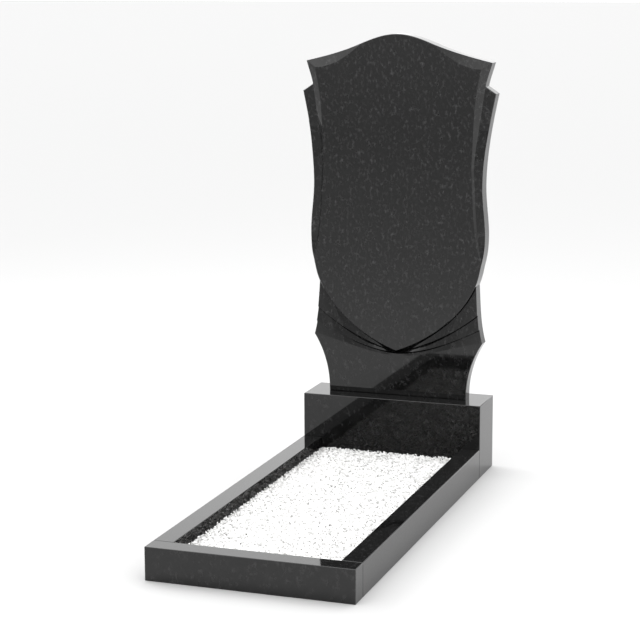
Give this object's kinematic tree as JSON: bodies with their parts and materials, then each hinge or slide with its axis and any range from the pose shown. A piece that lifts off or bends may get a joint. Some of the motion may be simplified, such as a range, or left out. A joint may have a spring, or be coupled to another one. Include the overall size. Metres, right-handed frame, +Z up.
{
  "type": "headstone",
  "caption": "Upright polished black stone grave marker with a carved shield face, on a block stand, with a kerbed bed of white stone chips in front.",
  "frame": {"origin": "on the ground, under the middle of the whole monument", "axes": "+Z up, +Y from the kerbed bed towards the headstone's back, +X to the right as seen from the front"},
  "size_m": [0.536, 1.1906, 1.1788],
  "materials": {
    "granite": "mirror polished",
    "chips": "broken marble chips, matt"
  },
  "bodies": {
    "root": {"stele": "granite", "stand": "granite", "kerb_front": "granite", "kerb_left": "granite", "kerb_right": "granite", "gravel_bed": "chips"}
  },
  "joints": []
}
